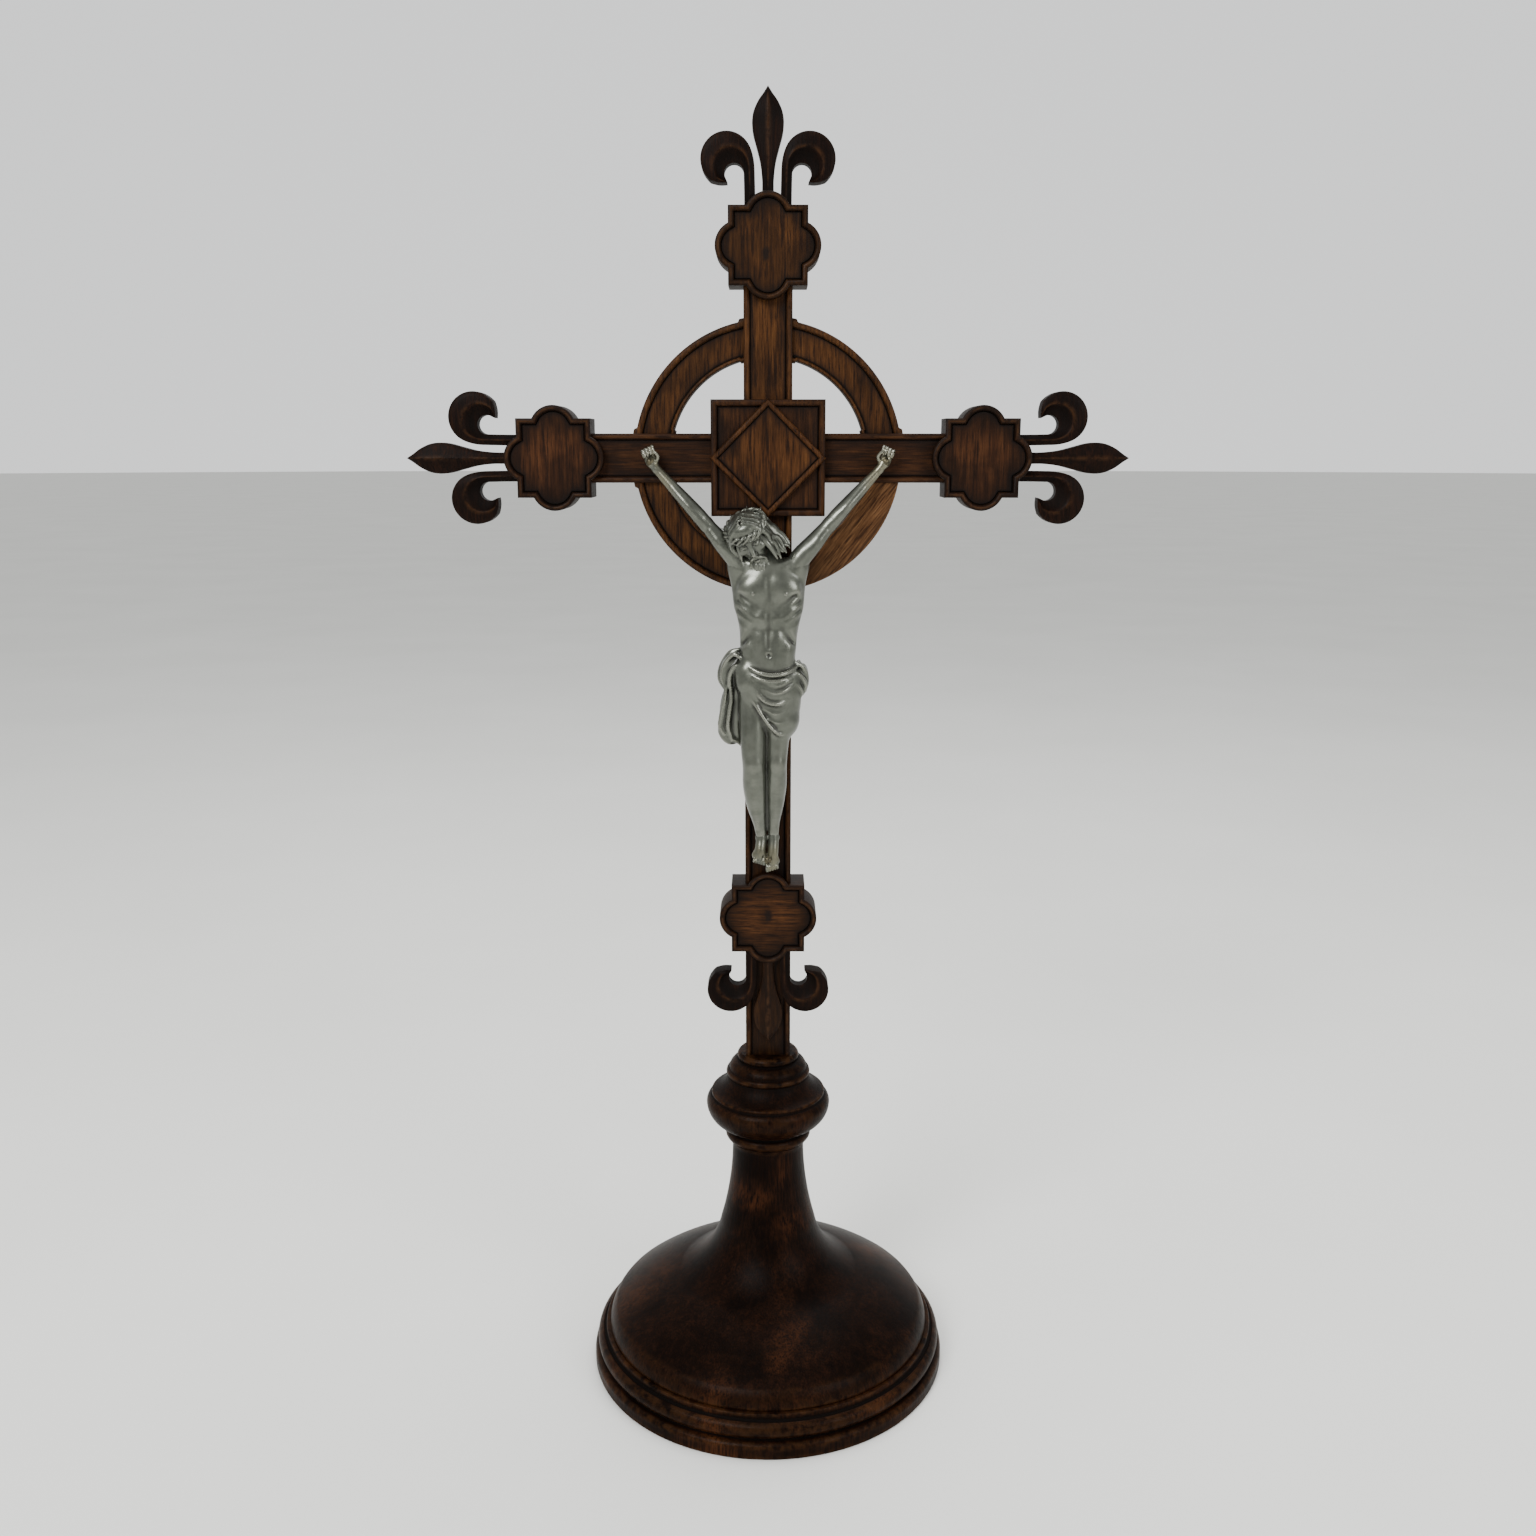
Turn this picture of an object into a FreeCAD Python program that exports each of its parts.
import FreeCAD, Part
import math
import os
import Sketcher

# A standing altar cross: a turned foot and knop carry a framed wooden cross with a ring,
# four quatrefoil blocks, fleur-de-lis ends and a cast corpus nailed to it.
# Axes: +X to the right of someone facing the front, +Y to the back, +Z up.
# The origin is the centre of the plinth's underside.

DRIVING_SIZES = [
    # the cross
    ("side_arm", 97.5, "crossing to the centre of a side quatrefoil"),
    ("upper_arm", 91.9, "crossing to the centre of the top quatrefoil"),
    ("lower_arm", 219.4, "crossing to the centre of the bottom quatrefoil"),
    ("foot_room", 72.9, "centre of the bottom quatrefoil to the knop's top"),
    ("shaft_width", 22.0, "width of the upright"),
    ("crossbar_width", 22.0, "height of the crossbar"),
    ("bar_depth", 16.0, "front to back of upright and crossbar"),
    ("edge_bead", 3.2, "width of the raised edge along both bars"),
    ("field_sink", 1.2, "depth of the sunk field between the edge beads"),
    ("joint_gap", 0.1, "glue room at the cheeks of a tenon"),
    ("end_gap", 0.5, "room past the end of a tenon"),
    # centre tablet and lozenge
    ("tablet_side", 52.0, "side of the square centre tablet"),
    ("overlay", 4.0, "how far tablet and quatrefoils stand proud of the bars"),
    ("tablet_border", 3.4, "width of the tablet's raised border"),
    ("tablet_sink", 1.4, "depth of the tablet's field"),
    ("lozenge_diagonal", 53.0, "point to point of the lozenge"),
    ("lozenge_thickness", 3.2, "thickness of the lozenge"),
    ("lozenge_bead", 2.4, "width of the lozenge's raised edge"),
    ("lozenge_sink", 0.9, "depth of the lozenge's field"),
    # quatrefoil blocks
    ("block_width", 47.2, "quatrefoil across its arm"),
    ("block_length", 45.6, "quatrefoil along its arm"),
    ("lobe_rise", 5.9, "how far a lobe stands past the corner square"),
    ("lobe_chord", 9.5, "half the width of a lobe where it leaves the square"),
    ("rim_width", 2.8, "width of the quatrefoil's raised rim"),
    ("rim_sink", 1.5, "depth of the quatrefoil's field"),
    ("bar_stop", 5.0, "how far a bar end runs past a block's centre"),
    # fleur-de-lis petals
    ("petal_thickness", 9.0, "thickness of the petals"),
    ("petal_setback", 0.5, "lower petals behind the face of the blocks"),
    ("top_spear_length", 44.0, "middle petal of the top fleur-de-lis, lobe to tip"),
    ("side_spear_length", 45.4, "middle petal of the left and right fleurs-de-lis"),
    ("lower_spear_gap", 8.1, "tip of the bottom middle petal to the knop's top"),
    ("spear_half_width", 7.0, "half the widest part of the middle petal"),
    ("spear_foot", 2.5, "half the stem of the middle petal at the lobe"),
    ("spear_waist", 3.5, "half the stem of the middle petal at its waist"),
    ("stem_inside", 5.6, "axis to the near edge of a side petal's stem"),
    ("stem_outside", 10.5, "axis to the far edge of a side petal's stem"),
    ("curl_radius", 11.5, "outer radius of a side petal's curl"),
    ("curl_reach", 14.1, "lobe to the centre of the curl, along the arm"),
    ("curl_spread", 18.3, "axis to the centre of the curl"),
    ("eye_radius", 4.3, "radius of the eye inside the curl"),
    ("eye_reach", 8.4, "lobe to the centre of the eye"),
    ("eye_spread", 15.0, "axis to the centre of the eye"),
    ("hook_reach", 4.3, "lobe to the tip of the curl"),
    ("hook_spread", 17.9, "axis to the tip of the curl"),
    ("tail_length", 8.0, "stub tenon of a petal"),
    ("tail_width", 3.6, "width of that tenon"),
    ("tail_thickness", 4.6, "thickness of that tenon"),
    # ring
    ("ring_outer", 61.3, "outer radius of the ring"),
    ("ring_inner", 44.8, "inner radius of the ring"),
    ("ring_thickness", 12.0, "front to back of the ring"),
    ("ring_setback", 1.5, "ring face behind the face of the bars"),
    ("ring_outer_bead", 3.0, "raised outer edge of the ring"),
    ("ring_inner_bead", 1.8, "raised inner edge of the ring"),
    ("ring_sink", 1.2, "depth of the ring's field"),
    ("stub_length", 4.0, "stub tenons of the ring quadrants"),
    ("stub_width", 9.0, "width of those tenons"),
    ("stub_thickness", 5.0, "thickness of those tenons"),
    # turned stand
    ("plinth_radius", 90.6, "plinth at its foot"),
    ("plinth_height", 20.0, "underside to the top of the plinth"),
    ("plinth_seat", 84.2, "radius of the plinth's top"),
    ("dome_radius", 82.4, "radius of the flared foot where it meets the plinth"),
    ("neck_radius", 18.0, "narrowest part of the flared foot"),
    ("foot_top", 120.0, "height of the joint between foot and knop"),
    ("spigot_radius", 8.0, "turned spigot under the knop"),
    ("spigot_length", 36.0, "length of the spigot"),
    ("knop_radius", 31.1, "knop at its widest"),
    ("knop_seat", 167.7, "height of the shaft's shoulder on the knop"),
    ("knop_lip", 14.3, "radius of the knop's top"),
    ("tenon_width", 14.0, "shaft tenon, side to side"),
    ("tenon_depth", 9.0, "shaft tenon, front to back"),
    ("tenon_length", 32.0, "shaft tenon, length"),
    ("screw_circle", 55.0, "radius of the circle of screws under the plinth"),
    ("screw_shank", 2.2, "radius of the screw shanks"),
    ("screw_cap", 4.4, "radius of the screw heads"),
    ("screw_length", 32.0, "length of the screws"),
    ("screw_sunk", 0.6, "screw heads above the underside"),
    # corpus and nails
    ("figure_gap", 0.6, "room between the casting's back and the front of the bars"),
    ("figure_half_depth", 9.0, "back of the casting to the middle of the figure"),
    ("hand_half_depth", 3.0, "back of the casting to the middle of the hands"),
    ("hand_spread", 53.5, "axis to the palms"),
    ("hand_drop", 1.5, "palms below the crossing"),
    ("shoulder_spread", 13.0, "axis to the shoulder joints"),
    ("shoulder_drop", 47.5, "shoulder joints below the crossing"),
    ("head_shift", 6.8, "head to the left of the axis"),
    ("head_drop", 34.5, "middle of the head below the crossing"),
    ("chest_half", 16.4, "half the width of the chest"),
    ("waist_half", 11.8, "half the width of the waist"),
    ("hip_half", 16.0, "half the width of the hips with the cloth"),
    ("knee_half", 9.6, "half the width of the two knees"),
    ("ankle_half", 6.2, "half the width of the two ankles"),
    ("toe_gap", 1.2, "toes above the bottom quatrefoil"),
    ("foot_nail_rise", 7.9, "nail through the feet, above the toes"),
    ("nail_shank", 0.9, "radius of the nails"),
    ("nail_cap", 1.9, "radius of the nail heads"),
    ("nail_bite", 8.0, "how deep the nails sit in the wood"),
]

DOC = FreeCAD.newDocument("StandingCross")
SHEET = DOC.addObject("Spreadsheet::Sheet", "Sizes")
for row, (alias, number, note) in enumerate(DRIVING_SIZES, start=1):
    SHEET.set(f"A{row}", note)
    SHEET.set(f"B{row}", str(number))
    SHEET.setAlias(f"B{row}", alias)
DOC.recompute()

OUTPUTS = {}


class Size:
    """A length that knows its value and the sheet expression that gives it."""

    def __init__(self, value, text):
        self.value = float(value)
        self.text = text

    def __add__(self, other):
        other = as_size(other)
        return Size(self.value + other.value, f"({self.text} + {other.text})")

    def __radd__(self, other):
        return as_size(other) + self

    def __sub__(self, other):
        other = as_size(other)
        return Size(self.value - other.value, f"({self.text} - {other.text})")

    def __rsub__(self, other):
        return as_size(other) - self

    def __mul__(self, other):
        other = as_size(other)
        return Size(self.value * other.value, f"({self.text} * {other.text})")

    def __rmul__(self, other):
        return as_size(other) * self

    def __truediv__(self, other):
        other = as_size(other)
        return Size(self.value / other.value, f"({self.text} / {other.text})")

    def __neg__(self):
        return self * -1

    def root(self):
        """The square root, used where a circle meets a straight edge."""
        return Size(math.sqrt(self.value), f"sqrt({self.text})")


def as_size(number):
    """Lets plain numbers stand beside sheet sizes in a sum."""
    if isinstance(number, Size):
        return number
    return Size(number, f"({number:.9f})")


def size(alias):
    """The sheet's size of that name."""
    return Size(SHEET.get(alias), f"Sizes.{alias}")


def leg(hypotenuse, side):
    """The other leg of a right triangle."""
    return (hypotenuse * hypotenuse - side * side).root()


# Sizes worked out from the driving ones.

CROSSING = size("knop_seat") + size("foot_room") + size("lower_arm")
SHAFT_HALF = size("shaft_width") / 2
CROSSBAR_HALF = size("crossbar_width") / 2
BACK = size("bar_depth") / 2
FRONT = -size("bar_depth") / 2
BLOCK_FRONT = FRONT - size("overlay")
BLOCK_DEPTH = size("bar_depth") + size("overlay")
BLOCK_MIDDLE = (BACK + BLOCK_FRONT) / 2
RING_FRONT = FRONT + size("ring_setback")
RING_BACK = RING_FRONT + size("ring_thickness")
RING_MIDDLE = (RING_FRONT + RING_BACK) / 2
LOBE_RADIUS = (size("lobe_chord") * size("lobe_chord")
               + size("lobe_rise") * size("lobe_rise")) / (size("lobe_rise") * 2)
HALF_BLOCK = size("block_length") / 2
STEM_MIDDLE = (size("stem_inside") + size("stem_outside")) / 2
SHAFT_TOP = CROSSING + size("upper_arm") + size("bar_stop")
BAR_HALF_LENGTH = size("side_arm") + size("bar_stop")
FIELD_FRONT = FRONT + size("field_sink")
LOWER_SPEAR_LENGTH = size("foot_room") - HALF_BLOCK - size("lower_spear_gap")
TOE_DROP = size("lower_arm") - HALF_BLOCK - size("toe_gap")
FOOT_NAIL_DROP = TOE_DROP - size("foot_nail_rise")

# The four ends of the cross: turn about Y, and place of the quatrefoil's centre.
ENDS = {
    "top": (0.0, as_size(0), CROSSING + size("upper_arm")),
    "right": (90.0, size("side_arm"), CROSSING),
    "bottom": (180.0, as_size(0), CROSSING - size("lower_arm")),
    "left": (-90.0, -size("side_arm"), CROSSING),
}


def new_body(name):
    """An empty PartDesign body."""
    return DOC.addObject("PartDesign::Body", name)


def bind(target, path, amount):
    """Ties one property of an object to a size."""
    target.setExpression(path, amount.text)


def place_on_end(body, end):
    """Turns a body outward and puts it on one end of the cross."""
    turn, across, height = ENDS[end]
    rotation = FreeCAD.Rotation(FreeCAD.Vector(0, 1, 0), turn)
    base = FreeCAD.Vector(across.value, 0, height.value)
    body.Placement = FreeCAD.Placement(base, rotation)
    bind(body, "Placement.Base.x", across)
    bind(body, "Placement.Base.z", height)


def new_sketch(body, name, role, offset):
    """A sketch on one of the body's own origin planes, moved along that plane's normal."""
    sketch = body.newObject("Sketcher::SketchObject", name)
    plane = next(item for item in body.Origin.OriginFeatures if item.Role == role)
    sketch.AttachmentSupport = [(plane, "")]
    sketch.MapMode = "FlatFace"
    offset = as_size(offset)
    sketch.AttachmentOffset = FreeCAD.Placement(
        FreeCAD.Vector(0, 0, offset.value), FreeCAD.Rotation())
    bind(sketch, "AttachmentOffset.Base.z", offset)
    return sketch


def facing_sketch(body, name, depth):
    """A sketch seen from the front, lying at the given Y."""
    return new_sketch(body, name, "XZ_Plane", -as_size(depth))


def pin_point(sketch, segment, end, across, up):
    """Fixes one end of a segment to two sizes."""
    for kind, amount, axis in (("DistanceX", across, -2), ("DistanceY", up, -1)):
        if abs(amount.value) < 1e-9:
            sketch.addConstraint(Sketcher.Constraint("PointOnObject", segment, end, axis))
        else:
            index = sketch.addConstraint(
                Sketcher.Constraint(kind, -1, 1, segment, end, amount.value))
            bind(sketch, f"Constraints[{index}]", amount)


def arc_between(start, finish, radius, side):
    """The short arc between two points; side 1 keeps its centre on the left, -1 on the right."""
    run = FreeCAD.Vector(finish[0] - start[0], finish[1] - start[1], 0)
    middle = FreeCAD.Vector((start[0] + finish[0]) / 2, (start[1] + finish[1]) / 2, 0)
    rise = math.sqrt(max(radius ** 2 - (run.Length / 2) ** 2, 0.0))
    left = FreeCAD.Vector(-run.y, run.x, 0).normalize()
    centre = middle + left * (side * rise)
    first = math.atan2(start[1] - centre.y, start[0] - centre.x)
    last = math.atan2(finish[1] - centre.y, finish[0] - centre.x)
    if side < 0:
        first, last = last, first
    circle = Part.Circle(centre, FreeCAD.Vector(0, 0, 1), radius)
    return Part.ArcOfCircle(circle, first, last)


def long_arc_between(start, finish, radius, side):
    """The long way round between two points, for a curl or an eye."""
    short = arc_between(start, finish, radius, -side)
    circle = Part.Circle(short.Center, FreeCAD.Vector(0, 0, 1), radius)
    first = math.atan2(start[1] - short.Center.y, start[0] - short.Center.x)
    last = math.atan2(finish[1] - short.Center.y, finish[0] - short.Center.x)
    if side < 0:
        first, last = last, first
    return Part.ArcOfCircle(circle, first, last)


def outline(sketch, corners):
    """Draws a closed outline.

    Each corner is (x, y) where a straight edge reaches it, or
    (x, y, radius, side) where an arc does; side 2 or -2 takes the long way round.
    """
    points = [(as_size(corner[0]), as_size(corner[1])) for corner in corners]
    flat = [(across.value, up.value) for across, up in points]
    ends = []
    for index in range(len(corners)):
        following = (index + 1) % len(corners)
        start, finish, reached = flat[index], flat[following], corners[following]
        if len(reached) == 2:
            line = Part.LineSegment(FreeCAD.Vector(*start, 0), FreeCAD.Vector(*finish, 0))
            segment = sketch.addGeometry(line, False)
            ends.append((segment, 1, 2))
            continue
        radius, side = as_size(reached[2]), reached[3]
        draw = arc_between if abs(side) == 1 else long_arc_between
        direction = 1 if side > 0 else -1
        segment = sketch.addGeometry(draw(start, finish, radius.value, direction), False)
        ends.append((segment, 1, 2) if direction > 0 else (segment, 2, 1))
        fixed = sketch.addConstraint(Sketcher.Constraint("Radius", segment, radius.value))
        bind(sketch, f"Constraints[{fixed}]", radius)
    for index, (segment, tail, _) in enumerate(ends):
        before, _, head = ends[index - 1]
        sketch.addConstraint(Sketcher.Constraint("Coincident", before, head, segment, tail))
        pin_point(sketch, segment, tail, *points[index])


def rectangle(sketch, left, bottom, right, top):
    """A rectangle between four sizes."""
    outline(sketch, [(left, bottom), (right, bottom), (right, top), (left, top)])


def circle(sketch, across, up, radius):
    """A circle whose centre and radius are sizes."""
    across, up, radius = as_size(across), as_size(up), as_size(radius)
    centre = FreeCAD.Vector(across.value, up.value, 0)
    ring = Part.Circle(centre, FreeCAD.Vector(0, 0, 1), radius.value)
    segment = sketch.addGeometry(ring, False)
    pin_point(sketch, segment, 3, across, up)
    fixed = sketch.addConstraint(Sketcher.Constraint("Radius", segment, radius.value))
    bind(sketch, f"Constraints[{fixed}]", radius)


def grow(body, kind, name, sketch, length, both_ways=False, reverse=False):
    """A Pad or a Pocket of that length, checked to have changed the body's volume."""
    DOC.recompute()
    before = body.Shape.Volume if body.Tip else 0.0
    feature = body.newObject(f"PartDesign::{kind}", name)
    feature.Profile = sketch
    feature.Length = length.value
    bind(feature, "Length", length)
    feature.Midplane = both_ways
    feature.Reversed = reverse
    DOC.recompute()
    change = body.Shape.Volume - before
    if (kind == "Pad") != (change > 0) or abs(change) < 1e-6:
        raise RuntimeError(f"{name} left the volume of {body.Name} as {body.Shape.Volume}")
    return feature


def pad(body, name, sketch, length, **ways):
    """Adds material along the sketch's normal."""
    return grow(body, "Pad", name, sketch, length, **ways)


def pocket(body, name, sketch, length, **ways):
    """Cuts material against the sketch's normal."""
    return grow(body, "Pocket", name, sketch, length, **ways)


def turn_round(body, name, sketch):
    """Turns a profile about the vertical axis."""
    feature = body.newObject("PartDesign::Revolution", name)
    feature.Profile = sketch
    feature.ReferenceAxis = (sketch, ["V_Axis"])
    feature.Angle = 360
    return feature


def combine(kind, name, *pieces):
    """A Part boolean: Cut takes a base and a tool, MultiFuse any number of pieces."""
    result = DOC.addObject(f"Part::{kind}", name)
    if kind == "Cut":
        result.Base, result.Tool = pieces
    else:
        result.Shapes = list(pieces)
    return result


def finish(node, piece):
    """Names a finished piece after its node."""
    piece.Label = node
    OUTPUTS[node] = piece


# ---------------------------------------------------------------- the two bars

# How far a cut that runs out of a piece goes past its face.
OVERRUN = 1


def section_corners(half):
    """The moulded section of a bar: plain back, raised edges, sunk field."""
    inner = half - size("edge_bead")
    return [(-half, BACK), (half, BACK), (half, FRONT), (inner, FRONT),
            (inner, FIELD_FRONT), (-inner, FIELD_FRONT), (-inner, FRONT), (-half, FRONT)]


def stub_mortises(body, along_axis, bar_half):
    """Four shallow mortises for the ring's stub tenons, two on each side of a bar."""
    middle = (leg(size("ring_outer"), bar_half) + leg(size("ring_inner"), bar_half)) / 2
    half = size("stub_width") / 2 + size("joint_gap")
    bottom = bar_half - size("stub_length") - size("end_gap")
    outside = bar_half + OVERRUN
    sketch = facing_sketch(body, f"{body.Name}StubMortises", RING_MIDDLE)
    for side in (1, -1):
        near, far = sorted((bottom * side, outside * side), key=lambda item: item.value)
        for way in (1, -1):
            low, high = middle * way - half, middle * way + half
            if along_axis == "upright":
                rectangle(sketch, near, CROSSING + low, far, CROSSING + high)
            else:
                rectangle(sketch, low, CROSSING + near, high, CROSSING + far)
    thickness = size("stub_thickness") + size("joint_gap") * 2
    pocket(body, f"{body.Name}StubPocket", sketch, thickness, both_ways=True)


def make_upright(lower_petals):
    """The shaft: moulded bar, tenon below, half lap at the crossing, housings for the petals."""
    body = new_body("UprightBody")
    section = new_sketch(body, "UprightSection", "XY_Plane", size("knop_seat"))
    outline(section, section_corners(SHAFT_HALF))
    pad(body, "UprightLength", section, SHAFT_TOP - size("knop_seat"))
    tenon = new_sketch(body, "TenonSection", "XY_Plane", size("knop_seat"))
    half_width, half_depth = size("tenon_width") / 2, size("tenon_depth") / 2
    rectangle(tenon, -half_width, -half_depth, half_width, half_depth)
    pad(body, "Tenon", tenon, size("tenon_length"), reverse=True)
    lap = facing_sketch(body, "UprightLap", BACK)
    rectangle(lap, -SHAFT_HALF - OVERRUN, CROSSING - CROSSBAR_HALF,
              SHAFT_HALF + OVERRUN, CROSSING + CROSSBAR_HALF)
    pocket(body, "UprightLapCut", lap, size("bar_depth") / 2, reverse=True)
    stub_mortises(body, "upright", SHAFT_HALF)
    nail = facing_sketch(body, "FootNailHole", FIELD_FRONT)
    circle(nail, 0, CROSSING - FOOT_NAIL_DROP, size("nail_shank"))
    pocket(body, "FootNailBore", nail, size("nail_bite"))
    housings = combine("MultiFuse", "LowerPetalHousings", *lower_petals)
    finish("upright_shaft", combine("Cut", "Upright", body, housings))


def make_crossbar():
    """The crossbar: moulded bar with its half lap and the holes for the hand nails."""
    body = new_body("CrossbarBody")
    section = new_sketch(body, "CrossbarSection", "YZ_Plane", 0)
    corners = section_corners(CROSSBAR_HALF)
    outline(section, [(depth, CROSSING + up) for up, depth in corners])
    pad(body, "CrossbarLength", section, BAR_HALF_LENGTH * 2, both_ways=True)
    lap = facing_sketch(body, "CrossbarLap", FRONT)
    rectangle(lap, -SHAFT_HALF, CROSSING - CROSSBAR_HALF - OVERRUN,
              SHAFT_HALF, CROSSING + CROSSBAR_HALF + OVERRUN)
    pocket(body, "CrossbarLapCut", lap, size("bar_depth") / 2)
    stub_mortises(body, "crossbar", CROSSBAR_HALF)
    nails = facing_sketch(body, "HandNailHoles", FIELD_FRONT)
    for side in (1, -1):
        circle(nails, size("hand_spread") * side, CROSSING - size("hand_drop"),
               size("nail_shank"))
    pocket(body, "HandNailBores", nails, size("nail_bite"))
    finish("crossbar", body)


# ---------------------------------------------------------------- centre tablet

def make_tablet():
    """The square tablet, housed over the crossing from behind and sunk for its lozenge."""
    body = new_body("TabletBody")
    half = size("tablet_side") / 2
    plate = facing_sketch(body, "TabletOutline", BACK)
    rectangle(plate, -half, CROSSING - half, half, CROSSING + half)
    pad(body, "TabletPlate", plate, BLOCK_DEPTH)
    cross = facing_sketch(body, "TabletHousing", BACK)
    wide = half + OVERRUN
    outline(cross, [
        (SHAFT_HALF, CROSSING - wide), (SHAFT_HALF, CROSSING - CROSSBAR_HALF),
        (wide, CROSSING - CROSSBAR_HALF), (wide, CROSSING + CROSSBAR_HALF),
        (SHAFT_HALF, CROSSING + CROSSBAR_HALF), (SHAFT_HALF, CROSSING + wide),
        (-SHAFT_HALF, CROSSING + wide), (-SHAFT_HALF, CROSSING + CROSSBAR_HALF),
        (-wide, CROSSING + CROSSBAR_HALF), (-wide, CROSSING - CROSSBAR_HALF),
        (-SHAFT_HALF, CROSSING - CROSSBAR_HALF), (-SHAFT_HALF, CROSSING - wide)])
    pocket(body, "TabletHousingCut", cross, size("bar_depth"), reverse=True)
    inner = half - size("tablet_border")
    field = facing_sketch(body, "TabletField", BLOCK_FRONT)
    rectangle(field, -inner, CROSSING - inner, inner, CROSSING + inner)
    pocket(body, "TabletFieldCut", field, size("tablet_sink"))
    seat = facing_sketch(body, "LozengeSeat", BLOCK_FRONT)
    lozenge_outline(seat, size("lozenge_diagonal") / 2)
    pocket(body, "LozengeSeatCut", seat, size("tablet_sink"))
    finish("centre_tablet", body)


def lozenge_outline(sketch, reach):
    """A square standing on its corner."""
    outline(sketch, [(reach, CROSSING), (0, CROSSING + reach),
                     (-reach, CROSSING), (0, CROSSING - reach)])


def make_lozenge():
    """The lozenge with its raised edge, let into the tablet's border at its four corners."""
    body = new_body("LozengeBody")
    reach = size("lozenge_diagonal") / 2
    seat = BLOCK_FRONT + size("tablet_sink")
    plate = facing_sketch(body, "LozengeOutline", seat)
    lozenge_outline(plate, reach)
    pad(body, "LozengePlate", plate, size("lozenge_thickness"))
    field = facing_sketch(body, "LozengeField", seat - size("lozenge_thickness"))
    lozenge_outline(field, reach - size("lozenge_bead") * math.sqrt(2))
    pocket(body, "LozengeFieldCut", field, size("lozenge_sink"))
    finish("centre_lozenge", body)


# ---------------------------------------------------------------- quatrefoil blocks

def quatrefoil(sketch, inset):
    """A square with a round lobe on each side, drawn an inset inside the block's edge."""
    radius = LOBE_RADIUS - inset
    chord = leg(radius, LOBE_RADIUS - size("lobe_rise") - inset)
    side = size("block_width") / 2 - size("lobe_rise") - inset
    top = HALF_BLOCK - size("lobe_rise") - inset
    outline(sketch, [
        (side, -chord), (side, chord, radius, 1), (side, top), (chord, top),
        (-chord, top, radius, 1), (-side, top), (-side, chord), (-side, -chord, radius, 1),
        (-side, -top), (-chord, -top), (chord, -top, radius, 1), (side, -top)])


def make_block(end):
    """One quatrefoil: housed over its bar from behind, mortised for its petals' tails."""
    name = f"Quatrefoil{end.title()}"
    body = new_body(name)
    bar_half = CROSSBAR_HALF if end in ("left", "right") else SHAFT_HALF
    plate = facing_sketch(body, f"{name}Outline", BACK)
    quatrefoil(plate, as_size(0))
    pad(body, f"{name}Plate", plate, BLOCK_DEPTH)
    housing = facing_sketch(body, f"{name}Housing", BACK)
    stop = HALF_BLOCK + OVERRUN if end == "bottom" else size("bar_stop")
    rectangle(housing, -bar_half, -HALF_BLOCK - OVERRUN, bar_half, stop)
    pocket(body, f"{name}HousingCut", housing, size("bar_depth"), reverse=True)
    field = facing_sketch(body, f"{name}Field", BLOCK_FRONT)
    quatrefoil(field, size("rim_width"))
    pocket(body, f"{name}FieldCut", field, size("rim_sink"))
    if end != "bottom":
        mortises = facing_sketch(body, f"{name}Mortises", BLOCK_MIDDLE)
        half = size("tail_width") / 2 + size("joint_gap")
        for middle in (-STEM_MIDDLE, as_size(0), STEM_MIDDLE):
            root = tail_root(middle) - size("tail_length") - size("end_gap")
            rectangle(mortises, middle - half, root, middle + half, HALF_BLOCK + OVERRUN)
        thickness = size("tail_thickness") + size("joint_gap") * 2
        pocket(body, f"{name}MortiseCut", mortises, thickness, both_ways=True)
    place_on_end(body, end)
    finish(f"quatrefoil_{end}", body)


# ---------------------------------------------------------------- fleur-de-lis petals

def lobe_height(across):
    """Height of the outer lobe's edge above the block's centre, at that distance off axis."""
    return HALF_BLOCK - LOBE_RADIUS + leg(LOBE_RADIUS, across)


def tail_root(middle):
    """Where a petal's tail starts: on the lobe for the spear, on the shoulder for a curl."""
    if middle.value == 0:
        return HALF_BLOCK
    return HALF_BLOCK - size("lobe_rise")


def add_tail(body, name, middle, depth):
    """The stub tenon that holds a petal in its block."""
    half = size("tail_width") / 2
    root = tail_root(middle)
    sketch = facing_sketch(body, f"{name}TailOutline", depth)
    into_petal = root + 2
    rectangle(sketch, middle - half, root - size("tail_length"), middle + half, into_petal)
    pad(body, f"{name}Tail", sketch, size("tail_thickness"), both_ways=True)


def spear_outline(sketch, length):
    """The middle petal: a slim stem that swells to a leaf and ends in a point."""
    foot, waist = size("spear_foot"), size("spear_waist")
    widest = size("spear_half_width")
    belly, shoulder, throat = widest * 0.96, widest * 0.89, widest * 0.46
    waist_level = HALF_BLOCK + length * 0.30
    belly_level = HALF_BLOCK + length * 0.59
    shoulder_level = HALF_BLOCK + length * 0.77
    throat_level = HALF_BLOCK + length * 0.895
    belly_arc, shoulder_arc = length * 0.35, length * 0.26
    outline(sketch, [
        (foot, lobe_height(foot), LOBE_RADIUS, -1), (waist, waist_level), (belly, belly_level),
        (shoulder, shoulder_level, belly_arc, 1), (throat, throat_level, shoulder_arc, 1),
        (0, HALF_BLOCK + length), (-throat, throat_level),
        (-shoulder, shoulder_level, shoulder_arc, 1), (-belly, belly_level, belly_arc, 1),
        (-waist, waist_level), (-foot, lobe_height(foot))])


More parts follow.
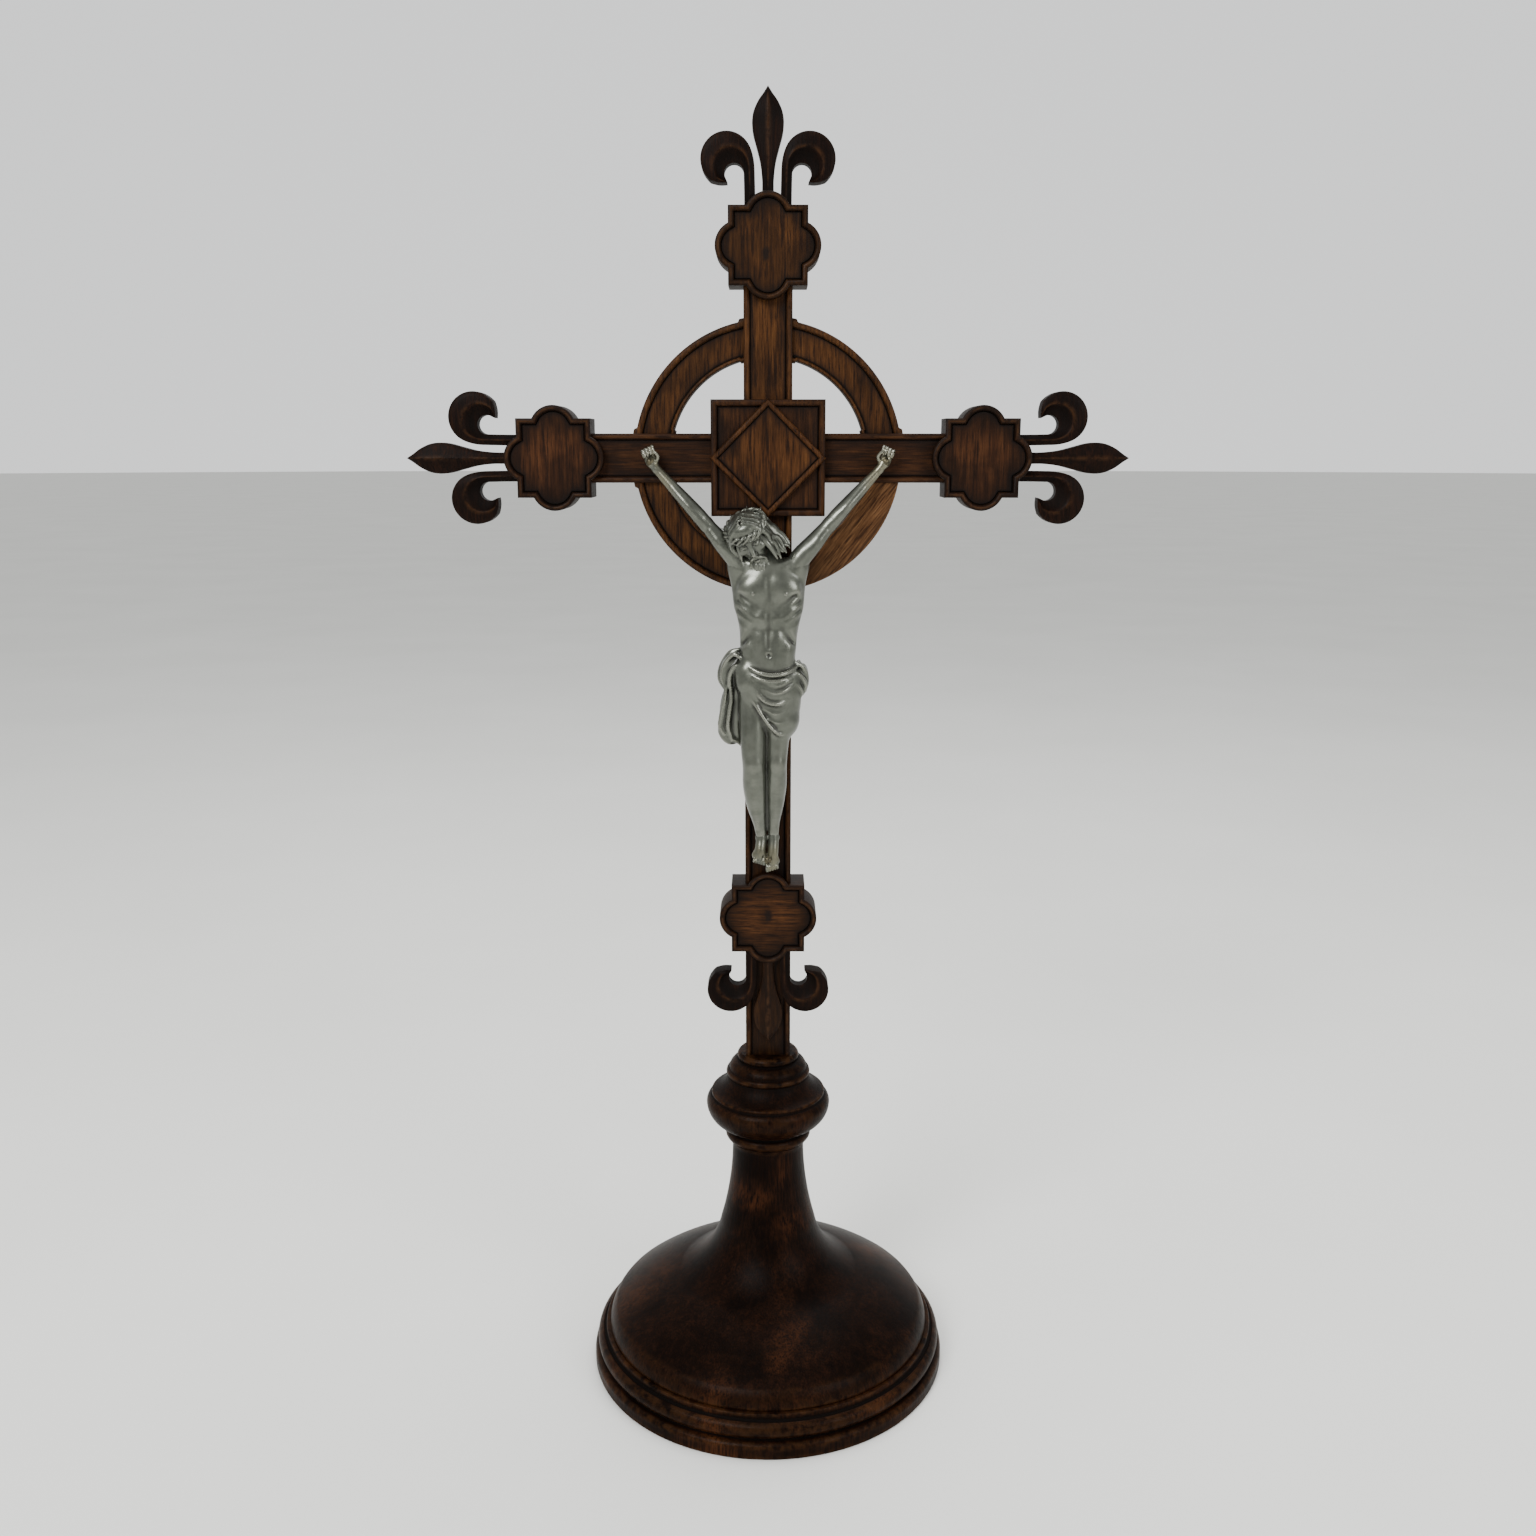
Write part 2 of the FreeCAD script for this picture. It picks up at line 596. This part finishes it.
def make_spear(end):
    """The middle petal of one end; on the bottom end it lies on the shaft's sunk field."""
    name = f"Spear{end.title()}"
    body = new_body(name)
    lower = end == "bottom"
    lengths = {"top": size("top_spear_length"), "bottom": LOWER_SPEAR_LENGTH}
    length = lengths.get(end, size("side_spear_length"))
    back = FIELD_FRONT if lower else BLOCK_MIDDLE + size("petal_thickness") / 2
    front = BLOCK_FRONT + size("petal_setback") if lower else back - size("petal_thickness")
    sketch = facing_sketch(body, f"{name}Outline", back)
    spear_outline(sketch, length)
    pad(body, f"{name}Petal", sketch, back - front)
    if not lower:
        add_tail(body, name, as_size(0), BLOCK_MIDDLE)
    place_on_end(body, end)
    finish(f"spear_{end}", body)


def curl_outline(sketch, side):
    """A side petal: a stem along the lobe that rolls outward into an open curl."""
    radius, eye = size("curl_radius"), size("eye_radius")
    centre = (size("curl_spread"), HALF_BLOCK + size("curl_reach"))
    eye_centre = (size("eye_spread"), HALF_BLOCK + size("eye_reach"))

    def on_circle(middle, distance, degrees):
        """A point at an angle measured from the arm's direction towards the outside."""
        angle = math.radians(degrees)
        return (middle[0] + distance * math.sin(angle), middle[1] + distance * math.cos(angle))

    inside, outside = size("stem_inside"), size("stem_outside")
    shoulder = HALF_BLOCK - size("lobe_rise")
    bend_start = HALF_BLOCK + size("eye_reach") + 0.7
    join = on_circle(centre, radius, -63)
    lip = on_circle(centre, radius, 142)
    tip = (size("hook_spread"), HALF_BLOCK + size("hook_reach"))
    eye_in = on_circle(eye_centre, eye, 110)
    eye_out = on_circle(eye_centre, eye, -90)
    points = [
        (inside, lobe_height(inside), LOBE_RADIUS, 1),
        (inside + 0.3, bend_start),
        (join[0], join[1], radius * 3.3, -1),
        (lip[0], lip[1], radius, -2),
        (tip[0], tip[1]),
        (eye_in[0], eye_in[1]),
        (eye_out[0], eye_out[1], eye, 2),
        (outside, HALF_BLOCK + size("eye_reach") - 2),
        (outside, shoulder),
        (size("lobe_chord"), shoulder)]
    mirrored = []
    for point in points:
        flipped = (point[0] * side, point[1])
        if len(point) == 4:
            flipped += (point[2], point[3] * side)
        mirrored.append(flipped)
    outline(sketch, mirrored)


def make_curl(end, hand, side):
    """A side petal; on the bottom end it is let into the shaft's edge."""
    name = f"Curl{end.title()}{hand.title()}"
    body = new_body(name)
    half = size("petal_thickness") / 2
    lower_middle = BLOCK_FRONT + size("petal_setback") + half
    middle = lower_middle if end == "bottom" else BLOCK_MIDDLE
    sketch = facing_sketch(body, f"{name}Outline", middle + half)
    curl_outline(sketch, side)
    pad(body, f"{name}Petal", sketch, size("petal_thickness"))
    if end != "bottom":
        add_tail(body, name, STEM_MIDDLE * side, BLOCK_MIDDLE)
    place_on_end(body, end)
    finish(f"curl_{end}_{hand}", body)
    return body


# ---------------------------------------------------------------- ring

def make_quadrant(name, turn, across_gap, up_gap, moulded):
    """A quarter of the ring with a stub tenon at each end, let into the bars."""
    body = new_body(name.title().replace("_", ""))
    outer, inner = size("ring_outer"), size("ring_inner")

    plate = facing_sketch(body, f"{body.Name}Outline", RING_BACK)
    closed_band(plate, outer, inner, across_gap, up_gap)
    pad(body, f"{body.Name}Plate", plate, size("ring_thickness"))
    if moulded:
        field = facing_sketch(body, f"{body.Name}Field", RING_FRONT)
        closed_band(field, outer - size("ring_outer_bead"), inner + size("ring_inner_bead"),
                    across_gap, up_gap)
        pocket(body, f"{body.Name}FieldCut", field, size("ring_sink"))
    half = size("stub_width") / 2
    stubs = facing_sketch(body, f"{body.Name}Stubs", RING_MIDDLE)
    up_middle = (leg(outer, across_gap) + leg(inner, across_gap)) / 2
    rectangle(stubs, across_gap - size("stub_length"), up_middle - half,
              across_gap + OVERRUN, up_middle + half)
    across_middle = (leg(outer, up_gap) + leg(inner, up_gap)) / 2
    rectangle(stubs, across_middle - half, up_gap - size("stub_length"),
              across_middle + half, up_gap + OVERRUN)
    pad(body, f"{body.Name}Tenons", stubs, size("stub_thickness"), both_ways=True)
    rotation = FreeCAD.Rotation(FreeCAD.Vector(0, 1, 0), turn)
    body.Placement = FreeCAD.Placement(FreeCAD.Vector(0, 0, CROSSING.value), rotation)
    bind(body, "Placement.Base.z", CROSSING)
    finish(name, body)


def closed_band(sketch, far, near, across_gap, up_gap):
    """The stretch of a ring between two radii and between the faces of the two bars."""
    outline(sketch, [
        (across_gap, leg(near, across_gap), near, 1), (across_gap, leg(far, across_gap)),
        (leg(far, up_gap), up_gap, far, -1), (leg(near, up_gap), up_gap)])


def make_ring():
    """Four quadrants; the lower right one is a plain replacement without mouldings."""
    make_quadrant("ring_upper_right", 0.0, SHAFT_HALF, CROSSBAR_HALF, True)
    make_quadrant("ring_lower_right", 90.0, CROSSBAR_HALF, SHAFT_HALF, False)
    make_quadrant("ring_lower_left", 180.0, SHAFT_HALF, CROSSBAR_HALF, True)
    make_quadrant("ring_upper_left", -90.0, CROSSBAR_HALF, SHAFT_HALF, True)


# ---------------------------------------------------------------- turned stand

def make_plinth(screw_holes):
    """The turned plinth: a rounded foot band, a quirk, a broad bead and a fillet."""
    body = new_body("PlinthBody")
    profile = facing_sketch(body, "PlinthProfile", 0)
    foot, top, seat = size("plinth_radius"), size("plinth_height"), size("plinth_seat")
    quirk = foot - 4
    outline(profile, [
        (0, 0), (foot - 0.8, 0), (foot, 0.8, 0.8, 1), (foot, top * 0.28),
        (foot - 2.2, top * 0.41, 2.6, 1), (quirk, top * 0.41), (quirk, top * 0.46),
        (seat + 1.6, top * 0.865, 4.9, 1), (seat, top * 0.865), (seat, top), (0, top)])
    turn_round(body, "PlinthTurning", profile)
    finish("moulded_plinth", combine("Cut", "Plinth", body, screw_holes))


def make_flared_foot(screw_holes):
    """The dome that sweeps up into a trumpet, bored for the knop's spigot."""
    body = new_body("FlaredFootBody")
    profile = facing_sketch(body, "FlaredFootProfile", 0)
    base, top, edge, neck = (size("plinth_height"), size("foot_top"),
                             size("dome_radius"), size("neck_radius"))
    rise = top - base
    spread = edge - neck
    bore = size("spigot_radius") + size("joint_gap")
    floor = top - size("spigot_length") - size("end_gap")
    outline(profile, [
        (0, base), (edge, base), (edge - 3.4, base + rise * 0.093, 14.0, 1),
        (neck + spread * 0.435, base + rise * 0.277, 112.0, 1),
        (neck + spread * 0.096, base + rise * 0.554, 40.0, -1),
        (neck, top - 3, 160.0, -1), (neck + 0.6, top),
        (bore, top), (bore, floor), (0, floor)])
    turn_round(body, "FlaredFootTurning", profile)
    finish("flared_foot", combine("Cut", "FlaredFoot", body, screw_holes))


def make_knop():
    """The knop between two rolls, with its spigot below and the shaft's mortise above."""
    body = new_body("KnopBody")
    profile = facing_sketch(body, "KnopProfile", 0)
    foot, seat = size("foot_top"), size("knop_seat")
    wide, lip, spigot = size("knop_radius"), size("knop_lip"), size("spigot_radius")
    tall = seat - foot
    roll_foot, roll_top = foot + tall * 0.021, foot + tall * 0.138
    belly_foot, belly, belly_top = foot + tall * 0.176, foot + tall * 0.409, foot + tall * 0.514
    ridge, bead_foot, bead_top = foot + tall * 0.566, foot + tall * 0.730, foot + tall * 0.809
    collar_foot = foot + tall * 0.918
    outline(profile, [
        (0, foot - size("spigot_length")), (spigot, foot - size("spigot_length")),
        (spigot, foot), (size("neck_radius") + 1.2, foot),
        (wide - 11.1, roll_foot), (wide - 11.1, roll_top, 3.67, 1),
        (wide - 11.1, belly_foot), (wide - 10.1, belly_foot), (wide, belly, 12.5, 1),
        (wide - 1.9, belly_top, 5.5, 1), (wide - 2.6, belly_top), (wide - 2.9, ridge),
        (wide - 10.9, bead_foot, 11.5, -1), (wide - 10.9, bead_top, 2.95, 1),
        (wide - 11.5, bead_top), (lip + 1.1, collar_foot, 6.0, 1),
        (lip + 0.6, collar_foot), (lip, seat, 4.0, 1), (0, seat)])
    turn_round(body, "KnopTurning", profile)
    DOC.recompute()
    gap = size("joint_gap")
    mortise = new_sketch(body, "KnopMortise", "XY_Plane", seat)
    half_width, half_depth = size("tenon_width") / 2 + gap, size("tenon_depth") / 2 + gap
    rectangle(mortise, -half_width, -half_depth, half_width, half_depth)
    pocket(body, "KnopMortiseCut", mortise, size("tenon_length") + size("end_gap"))
    finish("knop", body)


def upright_piece(kind, name, place, level, **amounts):
    """A cone or cylinder standing on a level, at a place given across and front to back."""
    piece = DOC.addObject(f"Part::{kind}", name)
    for prop, amount in amounts.items():
        bind(piece, prop, amount)
    bind(piece, "Placement.Base.x", place[0])
    bind(piece, "Placement.Base.y", place[1])
    bind(piece, "Placement.Base.z", level)
    return piece


def screw_set(name, loose, with_mouths):
    """Four countersunk screws, or the holes they need: a looser shank and an open mouth."""
    cap, shank, sunk = size("screw_cap"), size("screw_shank"), size("screw_sunk")
    head_height = cap - shank
    pieces = []
    for number in range(4):
        angle = math.radians(45 + 90 * number)
        circle_radius = size("screw_circle")
        place = (circle_radius * math.cos(angle), circle_radius * math.sin(angle))
        pieces.append(upright_piece("Cone", f"{name}Head{number}", place, sunk,
                                    Radius1=cap, Radius2=shank, Height=head_height))
        pieces.append(upright_piece("Cylinder", f"{name}Shank{number}", place,
                                    sunk + head_height, Radius=shank + loose,
                                    Height=size("screw_length") - head_height))
        if with_mouths:
            pieces.append(upright_piece("Cylinder", f"{name}Mouth{number}", place, as_size(0),
                                        Radius=cap, Height=sunk))
    return combine("MultiFuse", name, *pieces)


# ---------------------------------------------------------------- corpus

# Depths of the middle planes of the figure and of its hands.
FIGURE_MIDDLE = FRONT - size("figure_gap") - size("figure_half_depth")
HAND_MIDDLE = FRONT - size("figure_gap") - size("hand_half_depth")


def ellipse_section(name, across, depth, drop, half_width, half_depth):
    """One level cross-section of the figure."""
    section = DOC.addObject("Part::Ellipse", name)
    bind(section, "MajorRadius", half_width)
    bind(section, "MinorRadius", as_size(half_depth))
    bind(section, "Placement.Base.x", as_size(across))
    bind(section, "Placement.Base.y", depth)
    bind(section, "Placement.Base.z", CROSSING - drop)
    return section


def ellipsoid(name, centre, radii, lean):
    """A full ellipsoid; radii run along its own X, Y and Z, leaning about Y."""
    blob = DOC.addObject("Part::Ellipsoid", name)
    blob.Radius2, blob.Radius3, blob.Radius1 = radii
    blob.Angle1, blob.Angle2, blob.Angle3 = -90, 90, 360
    blob.Placement = FreeCAD.Placement(
        FreeCAD.Vector(*[part.value for part in centre]),
        FreeCAD.Rotation(FreeCAD.Vector(0, 1, 0), lean))
    for axis, amount in zip("xyz", centre):
        bind(blob, f"Placement.Base.{axis}", amount)
    return blob


def make_corpus_body():
    """Trunk and legs as one loft, with the head and the loincloth's two bunches."""
    middle = FIGURE_MIDDLE

    def down(share):
        """A drop below the crossing, as a share of the way from the shoulders to the toes."""
        return size("shoulder_drop") + (TOE_DROP - size("shoulder_drop")) * share

    levels = [
        ("Neck", -2.0, middle - 1, down(-0.034), as_size(5.4), 5.2),
        ("Collar", -0.5, middle, down(0.007), size("chest_half") * 0.74, 6.4),
        ("Chest", 0.2, middle - 0.5, down(0.074), size("chest_half"), 8.4),
        ("Ribs", 0.1, middle, down(0.156), size("chest_half") * 0.84, 7.8),
        ("Waist", 0.0, middle, down(0.230), size("waist_half"), 7.2),
        ("Hips", 0.0, middle, down(0.352), size("hip_half"), 8.6),
        ("Thighs", 0.0, middle - 1.5, down(0.486), size("hip_half") * 0.80, 8.4),
        ("Knees", 0.2, middle - 2, down(0.648), size("knee_half"), 7.2),
        ("Calves", 0.2, middle - 0.5, down(0.770), size("knee_half") * 0.86, 6.2),
        ("Ankles", 0.3, middle + 1.5, down(0.892), size("ankle_half"), 4.8),
        ("Toes", 0.0, middle + 1.5, down(1.0), size("ankle_half") * 0.8, 3.4)]
    trunk = DOC.addObject("Part::Loft", "FigureTrunk")
    trunk.Sections = [ellipse_section(f"Figure{level[0]}", *level[1:]) for level in levels]
    trunk.Solid = True
    trunk.Ruled = True
    head = ellipsoid("FigureHead", (-size("head_shift"), middle - 3, CROSSING - size("head_drop")),
                     (10.4, 9.4, 12.4), -14)
    knot = ellipsoid("FigureKnot", (-size("hip_half") - 2.5, middle + 1, CROSSING - down(0.362)),
                     (5.6, 5.0, 9.0), 8)
    tail = ellipsoid("FigureTail", (-size("hip_half") - 1.5, middle + 2, CROSSING - down(0.470)),
                     (4.8, 4.0, 18.0), 4)
    tuck = ellipsoid("FigureTuck", (size("hip_half") + 0.5, middle, CROSSING - down(0.382)),
                     (4.2, 5.4, 7.0), -6)
    whole = combine("MultiFuse", "FigureWhole", trunk, head, knot, tail, tuck)
    hole = nail_hole("FootNailClearance", as_size(0), FOOT_NAIL_DROP)
    finish("corpus_body", combine("Cut", "Figure", whole, hole))
    return whole


def rod_between(name, start, finish_point, thick, thin):
    """A tapering limb between two points."""
    rod = DOC.addObject("Part::Cone", name)
    first = FreeCAD.Vector(*[part.value for part in start])
    run = FreeCAD.Vector(*[part.value for part in finish_point]) - first
    rod.Radius1, rod.Radius2, rod.Height = thick, thin, run.Length
    rod.Placement = FreeCAD.Placement(first, FreeCAD.Rotation(FreeCAD.Vector(0, 0, 1), run))
    return rod


def make_arm(name, side, trunk):
    """A separately cast arm: upper arm, forearm and a loosely closed hand."""
    label = name.title()
    shoulder = (size("shoulder_spread") * side, FIGURE_MIDDLE, CROSSING - size("shoulder_drop"))
    palm = (size("hand_spread") * side, HAND_MIDDLE, CROSSING - size("hand_drop"))
    wrist = (palm[0] - 2 * side, palm[1], palm[2] - 3)
    elbow = ((shoulder[0] + wrist[0]) / 2, FIGURE_MIDDLE - 0.5, (shoulder[2] + wrist[2]) / 2 - 1)
    upper = rod_between(f"UpperArm{label}", shoulder, elbow, 5.2, 4.1)
    lower = rod_between(f"Forearm{label}", elbow, wrist, 4.1, 2.5)
    joint = ellipsoid(f"Elbow{label}", elbow, (4.1, 4.1, 4.1), 0)
    cap = ellipsoid(f"Shoulder{label}", shoulder, (5.2, 5.2, 5.2), 0)
    hand = ellipsoid(f"Hand{label}", palm, (4.0, 3.0, 6.5), 15 * side)
    whole = combine("MultiFuse", f"ArmWhole{label}", cap, upper, joint, lower, hand)
    hole = nail_hole(f"HandNailClearance{label}", size("hand_spread") * side, size("hand_drop"))
    cutters = combine("MultiFuse", f"ArmCutters{label}", trunk, hole)
    finish(f"corpus_arm_{name}", combine("Cut", f"Arm{label}", whole, cutters))


def nail_piece(name, across, drop, radius, near, far):
    """A round bar along Y between two depths, near being the front one."""
    rod = DOC.addObject("Part::Cylinder", name)
    bind(rod, "Radius", radius)
    bind(rod, "Height", far - near)
    rod.Placement.Rotation = FreeCAD.Rotation(FreeCAD.Vector(1, 0, 0), -90)
    bind(rod, "Placement.Base.x", across)
    bind(rod, "Placement.Base.y", near)
    bind(rod, "Placement.Base.z", CROSSING - drop)
    return rod


def nail_hole(name, across, drop):
    """The clearance hole and the flat for the head, through the casting."""
    shank = nail_piece(f"{name}Bore", across, drop, size("nail_shank") + size("joint_gap"),
                       FRONT - 30, FRONT)
    seat = nail_piece(f"{name}Flat", across, drop, size("nail_cap") + size("joint_gap"),
                      FRONT - 30, nail_seat(drop))
    return combine("MultiFuse", name, shank, seat)


def nail_seat(drop):
    """Depth at which the nail's head sits on the casting."""
    if drop.text == FOOT_NAIL_DROP.text:
        return FIGURE_MIDDLE - 2
    return HAND_MIDDLE - 1.5


def make_nail(node, across, drop):
    """A nail: a flat round head on a shank that bites into the sunk field of the bar."""
    label = node.title().replace("_", "")
    seat = nail_seat(drop)
    head = nail_piece(f"{label}Head", across, drop, size("nail_cap"), seat - 1.4, seat)
    shank = nail_piece(f"{label}Shank", across, drop, size("nail_shank"), seat - 0.5,
                       FIELD_FRONT + size("nail_bite"))
    finish(node, combine("MultiFuse", label, head, shank))


# ---------------------------------------------------------------- assembly

def build():
    """Makes every piece of the cross."""
    for end in ENDS:
        make_block(end)
        make_spear(end)
    curls = [make_curl(end, hand, side)
             for end in ENDS for hand, side in (("first", -1), ("second", 1))]
    lower_curls = [curl for curl in curls if "Bottom" in curl.Name]
    make_upright(lower_curls)
    make_crossbar()
    make_tablet()
    make_lozenge()
    make_ring()
    make_plinth(screw_set("PlinthScrewHoles", size("joint_gap"), True))
    make_flared_foot(screw_set("FootPilotHoles", as_size(0), True))
    make_knop()
    finish("plinth_screws", screw_set("Screws", as_size(0), False))
    trunk = make_corpus_body()
    make_arm("left", -1, trunk)
    make_arm("right", 1, trunk)
    make_nail("hand_nail_left", -size("hand_spread"), size("hand_drop"))
    make_nail("hand_nail_right", size("hand_spread"), size("hand_drop"))
    make_nail("foot_nail", as_size(0), FOOT_NAIL_DROP)


def check():
    """Stops before anything is written if an object failed or a piece isn't sound."""
    DOC.recompute()
    for item in DOC.Objects:
        if "Invalid" in item.State or "Error" in item.State:
            raise RuntimeError(f"{item.Name} failed: {item.State}")
    for node, piece in OUTPUTS.items():
        shape = piece.Shape
        if shape.isNull() or not shape.isValid() or not shape.Solids:
            raise RuntimeError(f"{node} has no sound shape")


def write():
    """Writes each piece to its own STEP file, named after its label."""
    os.makedirs("parts", exist_ok=True)
    for piece in OUTPUTS.values():
        piece.Shape.exportStep(f"parts/{piece.Label}.step")
    print(len(OUTPUTS), "pieces written")


build()
check()
write()
